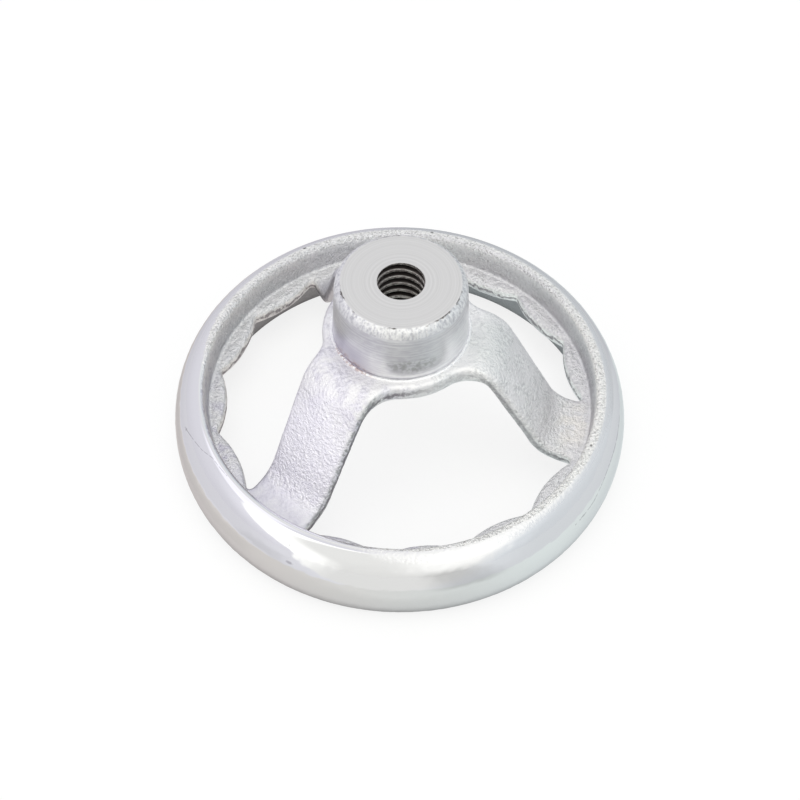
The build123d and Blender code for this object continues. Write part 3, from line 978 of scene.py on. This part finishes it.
def room_tone(tree, x, y, elevation):
    """Colour of the pale room towards a direction: x and y on the level, and the elevation."""
    heading = add(tree, "Math ARCTAN2", x, add(tree, "Math MULTIPLY", y, -1.0))
    heading = turned(tree, add(tree, "Math DEGREES", heading), VIEW_HEADING)
    dome = 1.0
    glow = EDGE_GLOW
    overs = []
    for at, level, rise, soft, reach in DOME_EDGES:
        edge = add(tree, "Math MULTIPLY", add(tree, "Math SUBTRACT", heading, at), rise)
        over = add(tree, "Math SUBTRACT", elevation, add(tree, "Math ADD", edge, level))
        overs.append(over)
        inside = add(tree, "MapRange SMOOTHSTEP", over, -soft / 2, soft / 2)
        dome = add(tree, "Math MULTIPLY", dome, inside)
        glow = add(tree, "Math MULTIPLY", glow, add(tree, "MapRange SMOOTHSTEP", over, -reach, 0.0))
    glow = add(tree, "Math MULTIPLY", glow, add(tree, "Math SUBTRACT", 1.0, dome))
    reach, soft, start, end, gain = EDGE_LAMP
    lamp = add(
        tree, "Math MULTIPLY", dome,
        add(tree, "MapRange SMOOTHSTEP", overs[0], reach + soft, reach),
        add(tree, "MapRange SMOOTHSTEP", heading, start, end, 0.0, gain),
    )
    cap = add(
        tree, "Math MULTIPLY", around(tree, heading, *DOME_TOP_SIDE),
        add(tree, "MapRange SMOOTHSTEP", elevation, *DOME_TOP_EDGE),
    )
    dome = add(tree, "Math MAXIMUM", dome, cap)

    def total(panels, tone):
        for middle, level, half_width, half_height, soft, gain in panels:
            above = add(tree, "Math ABSOLUTE", add(tree, "Math SUBTRACT", elevation, level))
            edges = half_height + soft / 2, half_height - soft / 2
            panel = add(
                tree, "Math MULTIPLY", add(tree, "MapRange SMOOTHSTEP", above, *edges), gain,
                around(tree, heading, middle, half_width + soft / 2, half_width - soft / 2),
            )
            tone = add(tree, "Math ADD", tone, panel)
        return tone

    below = add(tree, "MapRange SMOOTHSTEP", elevation, *HORIZON)
    lamps = add(tree, "Math MULTIPLY", dome, total(LAMPS, DOME_GAIN))
    ground = add(tree, "MapRange SMOOTHSTEP", heading, *FLOOR_GAINS)
    ground = add(tree, "Math MULTIPLY", below, ground)
    tone = add(tree, "MapRange SMOOTHSTEP", elevation, *WALL_LEVELS)
    tone = add(tree, "Math ADD", tone, glow, lamp, lamps, ground)
    bounces = add(tree, "LightPath").node.outputs["Glossy Depth"]
    again = add(tree, "MapRange SMOOTHSTEP", bounces, *REPEATS)
    tone = add(tree, "Math MULTIPLY", total(PANELS, tone), again)

    side = add(tree, "MapRange SMOOTHSTEP", heading, *SIDES)
    walls = add(tree, "Mix RGBA", dome, add(tree, "Mix RGBA", side, *WALL_HUES), DOME_HUE)
    hue = add(tree, "Mix RGBA", below, walls, add(tree, "Mix RGBA", side, *FLOOR_HUES))
    return add(tree, "VectorMath SCALE", hue, tone)


def make_world():
    """White where it is seen, a pale room in the metal, and a plain soft level as a light."""
    world = bpy.data.worlds.new("studio")
    bpy.context.scene.world = world
    world.use_nodes = True
    tree = world.node_tree
    direction = add(tree, "TexCoord").node.outputs["Generated"]
    parts = add(tree, "SeparateXYZ", direction).node.outputs
    elevation = add(tree, "Math DEGREES", add(tree, "Math ARCSINE", parts["Z"]))
    room = room_tone(tree, parts["X"], parts["Y"], elevation)
    seen, by_camera = seen_directly(tree)
    backdrop = tree.nodes["Background"]
    colour = add(tree, "Mix RGBA", by_camera, room, "#FFFFFF")
    strength = add(tree, "MapRange", seen, 0.0, 1.0, WORLD_LIGHT, 1.0)
    tree.links.new(colour, backdrop.inputs["Color"])
    tree.links.new(strength, backdrop.inputs["Strength"])


def make_floor():
    """Pale floor: nearly white where it is seen, with a faint soft shadow of the wheel."""
    bpy.ops.object.select_all(action="DESELECT")
    bpy.ops.mesh.primitive_plane_add(size=FLOOR_SIZE * MM, location=(0, 0, -FLOOR_GAP * MM))
    floor = bpy.context.object
    floor.name = "floor"
    material = new_finish("floor_paper")
    tree = material.node_tree
    place, radius = place_on_wheel(tree)[:2]
    parts = add(tree, "SeparateXYZ", place).node.outputs
    away = add(tree, "Math MAXIMUM", add(tree, "Math SUBTRACT", radius, WHEEL_RADIUS), 1.0)
    drop = add(tree, "Math DEGREES", add(tree, "Math ARCTAN2", -MIRROR_HEIGHT, away))
    room = room_tone(tree, parts["X"], parts["Y"], drop)
    # painted light on the floor inside the rim, and a painted shadow under the rim, seen only in
    # the metal
    room = add(tree, "VectorMath SCALE", room, add(tree, "MapRange", radius, *WINDOW_FLOOR_PAINTED_LIGHT))
    inner, middle, outer, dark = UNDER_RIM_PAINTED_SHADOW
    shade = add(
        tree, "Math MULTIPLY", add(tree, "MapRange SMOOTHSTEP", radius, inner, middle),
        add(tree, "MapRange SMOOTHSTEP", radius, outer, middle),
    )
    room = add(tree, "VectorMath SCALE", room, add(tree, "MapRange", shade, 0.0, 1.0, 1.0, dark))
    seen, by_camera = seen_directly(tree)
    glow = add(tree, "Emission", add(tree, "Mix RGBA", by_camera, room, "#FFFFFF"), 1.0)
    paper = add(tree, "BsdfDiffuse", "#F6F6F5")
    share = add(tree, "Math MULTIPLY", seen, FLOOR_GLOW)
    cover(material, add(tree, "MixShader", share, paper, glow))
    floor.data.materials.append(material)


def make_lamp():
    """One wide soft lamp overhead, for the faint shadow under the wheel."""
    bpy.ops.object.light_add(type="AREA", location=[value * MM for value in LAMP_PLACE])
    lamp = bpy.context.object
    lamp.name = "overhead_lamp"
    lamp.data.shape = "DISK"
    lamp.data.size = LAMP_SIZE * MM
    lamp.data.energy = LAMP_POWER
    lamp.visible_glossy = False


FINISHES = {
    "cast": cast_skin(), "buffed": buffed_plate(), "faced": faced_iron(), "turned": turned_plate(),
    "torn": torn_edge(), "thread": oxidised_thread(),
}
make_casting()
make_camera()
make_world()
make_floor()
make_lamp()
bpy.context.scene.view_settings.view_transform = "Standard"
